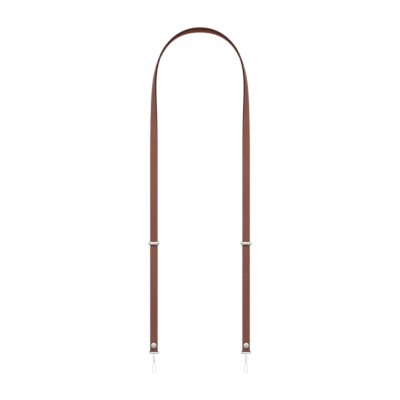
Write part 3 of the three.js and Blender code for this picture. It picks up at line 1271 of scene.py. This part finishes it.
@dataclass
class CordLoop(CordPiece):
    """The open loop of braided cord below a neck."""

    KIND = "cord"
    ROUTE = (  # half of the loop: out from its middle line, and down
        (0.0005, 0.0), (0.00055, 0.0012), (0.0008, 0.0028), (0.00118, 0.0046),
        (0.00158, 0.0066), (0.00191, 0.0087), (0.00208, 0.0108), (0.0021, 0.0124),
        (0.00206, 0.0135), (0.00195, 0.0143), (0.00171, 0.01505), (0.00129, 0.01566),
        (0.00069, 0.01606), (0.0, 0.0162))

    diameter: float = 0.0009
    below_bar: float = 0.0095
    tuck: float = 0.0006
    braid_strands: int = 16
    braid_pitch: float = 0.0024
    braid_step: float = 0.00009
    strand_share: float = 0.2  # of the cord's radius
    lay_inset: float = 1.4  # this and the next two in strand radii
    core_inset: float = 0.5
    weave: float = 0.4
    steps: int = 10

    def route(self) -> np.ndarray:
        """Points of the route, down one side and up the other.

        Returns:
            One row for each point.
        """
        half = np.array(self.ROUTE)
        down = np.column_stack([-half[:, 0], np.zeros(len(half)), -half[:, 1]])
        up = down[-2::-1] * [-1.0, 1.0, 1.0]
        lift = [0.0, 0.0, self.tuck]
        whole = np.concatenate([down[:1] + lift, down, up, up[-1:] + lift])
        return self.bar() - [0.0, 0.0, self.below_bar] + whole

    def centreline(self) -> np.ndarray:
        """Smooth curve through the route's points.

        Returns:
            One row for each point of the curve.
        """
        points = self.route()
        first = 2 * points[0] - points[1]
        last = 2 * points[-1] - points[-2]
        spots = np.vstack([first, points, last])
        rows = []
        for i in range(1, len(spots) - 2):
            four = spots[i - 1:i + 3]
            spans = np.sqrt(np.linalg.norm(np.diff(four, axis=0), axis=1))
            knots = np.concatenate([[0.0], np.cumsum(spans)])
            for t in np.linspace(knots[1], knots[2], self.steps, endpoint=False):
                rows.append(self.between(four, knots, t))
        return np.vstack(rows + [points[-1]])

    @staticmethod
    def between(four: np.ndarray, knots: np.ndarray, t: float) -> np.ndarray:
        """Point of a smooth curve between the middle two of four points.

        Args:
            four: The points.
            knots: Their places along the curve.
            t: Place of the wanted point.

        Returns:
            The point.
        """
        level = list(four)
        for order in (1, 2, 3):
            fresh = []
            for i in range(4 - order):
                low, high = (i, i + order) if order < 3 else (1, 2)
                share = (t - knots[low]) / (knots[high] - knots[low])
                fresh.append(level[i] * (1.0 - share) + level[i + 1] * share)
            level = fresh
        return level[0]

    def build(self) -> None:
        path = self.centreline()
        radius = self.diameter / 2
        strand = radius * self.strand_share
        winding = Winding(step=self.braid_step, strands=self.braid_strands, pitch=self.braid_pitch,
                          lay_radius=radius - strand * self.lay_inset, strand_radius=strand,
                          core_radius=radius - strand * self.core_inset,
                          weave=strand * self.weave, lay=Lay.BRAID)
        braid = self.strands.lay("braid", path, winding, self.material)
        loop = self.dress("cord_loop", braid)


@dataclass(frozen=True)
class Surround:
    """Brightness of the surround by direction."""

    front: float
    top: float
    under: float
    back: float
    height: float = 0.9  # upward part of a direction at which it counts as top or under
    depth: float = 0.55  # backward part of a direction at which it counts as back

    def strength(self, sketch: NodeSketch,
                 way: bpy.types.bpy_prop_collection) -> bpy.types.NodeSocket:
        """Brightness in a direction.

        Args:
            sketch: Sketch of the world's nodes.
            way: The direction's axes.

        Returns:
            The brightness's socket.
        """
        over = sketch.ramp(way[2], (0.0, self.height), self.front, self.top)
        level = sketch.ramp(way[2], (-self.height, 0.0), self.under - self.front, 0.0)
        ahead = sketch.math("ADD", over, level)
        behind = sketch.ramp(way[1], (0.0, self.depth))
        lift = sketch.math("MULTIPLY", behind, sketch.math("SUBTRACT", self.back, ahead))
        return sketch.math("ADD", ahead, lift)


@dataclass
class Studio:
    """White surround, soft light from the front and above, and the photo's camera."""

    lens: float = 85.73
    sensor: float = 36.0
    near: float = 0.01
    camera_at: Spot = (0.0, -1.250, -0.22184)
    key_at: Spot = (0.0, -0.74, 0.80)
    key_aim: Spot = (0.0, 0.0, -0.15)
    key_size: float = 0.5
    key_power: float = 24.0
    fill: Surround = Surround(0.38, 0.72, 0.30, 0.60)
    gloss: Surround = Surround(0.78, 2.1, 0.42, 0.15)
    white: Colour = (1.0, 1.0, 1.0, 1.0)
    floor_height: float = -1.45
    floor_radius: float = 4.0
    floor_sides: int = 96
    floor_colour: Colour = (0.90, 0.90, 0.90, 1.0)
    floor_rough: float = 0.9
    floor_glow: float = 0.6

    def camera(self) -> None:
        """Makes the camera that sees the strap as the photo does."""
        lens = bpy.data.cameras.new("photo view")
        lens.lens = self.lens
        lens.sensor_width = self.sensor
        lens.clip_start = self.near
        lens.dof.use_dof = False
        eye = bpy.data.objects.new("photo view", lens)
        eye.location = self.camera_at
        eye.rotation_euler = (math.pi / 2, 0.0, 0.0)
        bpy.context.scene.collection.objects.link(eye)
        bpy.context.scene.camera = eye

    def surround(self) -> None:
        """Makes a world that is white to the camera and graded for light."""
        world = bpy.data.worlds.new("white surround")
        world.use_nodes = True
        bpy.context.scene.world = world
        world.node_tree.nodes.clear()
        s = NodeSketch(world.node_tree)
        way = s.add("ShaderNodeSeparateXYZ",
                    {0: s.add("ShaderNodeTexCoord").outputs["Generated"]}).outputs
        light = self.fill.strength(s, way)
        shine = self.gloss.strength(s, way)
        path = s.add("ShaderNodeLightPath").outputs
        change = s.math("MULTIPLY", path["Is Glossy Ray"], s.math("SUBTRACT", shine, light))
        graded = s.add("ShaderNodeBackground", {0: self.white, 1: s.math("ADD", light, change)})
        plain = s.add("ShaderNodeBackground", {0: self.white, 1: 1.0})
        mixed = s.add("ShaderNodeMixShader", {0: path["Is Camera Ray"], 1: graded.outputs[0],
                                              2: plain.outputs[0]})
        s.add("ShaderNodeOutputWorld", {"Surface": mixed.outputs[0]})

    def key(self) -> bpy.types.Object:
        """Makes the soft light.

        Returns:
            The light.
        """
        lamp = bpy.data.lights.new("soft light", "AREA")
        lamp.shape = "DISK"
        lamp.size = self.key_size
        lamp.energy = self.key_power
        light = bpy.data.objects.new("soft light", lamp)
        light.location = self.key_at
        aim = Vector(self.key_aim) - Vector(self.key_at)
        light.rotation_euler = aim.to_track_quat("-Z", "Y").to_euler()
        light.visible_glossy = False
        bpy.context.scene.collection.objects.link(light)
        return light

    def floor(self) -> bpy.types.Object:
        """Makes the plain pale floor far below the strap.

        Returns:
            The floor.
        """
        disc = bmesh.new()
        bmesh.ops.create_circle(disc, cap_ends=True, segments=self.floor_sides,
                                radius=self.floor_radius)
        bmesh.ops.translate(disc, verts=disc.verts, vec=(0.0, 0.0, self.floor_height))
        mesh = bpy.data.meshes.new("pale floor")
        disc.to_mesh(mesh)
        disc.free()
        sketch = ShaderSketch("pale floor")
        sketch.surface(Base_Color=self.floor_colour, Roughness=self.floor_rough,
                       Emission_Color=self.floor_colour, Emission_Strength=self.floor_glow)
        floor = place_object("pale_floor", mesh, sketch.material)
        floor.visible_diffuse = False
        floor.visible_glossy = False
        floor.visible_shadow = False
        return floor

    def build(self) -> None:
        """Sets the stage."""
        bpy.context.scene.view_settings.view_transform = "Standard"
        self.surround()
        self.key()
        self.floor()
        LOG.info("studio: light, floor and surround")


def main() -> None:
    """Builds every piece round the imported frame."""
    logging.basicConfig(level=logging.INFO, format="%(message)s")
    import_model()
    studio = Studio()
    studio.camera()
    white = CordFinish().material()
    strands = StrandTree()
    for side in Side:
        CordLoop(side, white, strands).build()
        CordNeck(side, white, strands).build()
    NeckStrap().build()
    nickel = NickelFinish().material()
    for side in Side:
        Keeper(side, nickel).build()
        Rivet(side, nickel).build()
        WireRing(side, nickel).build()
    studio.build()


if __name__ == "__main__":
    main()
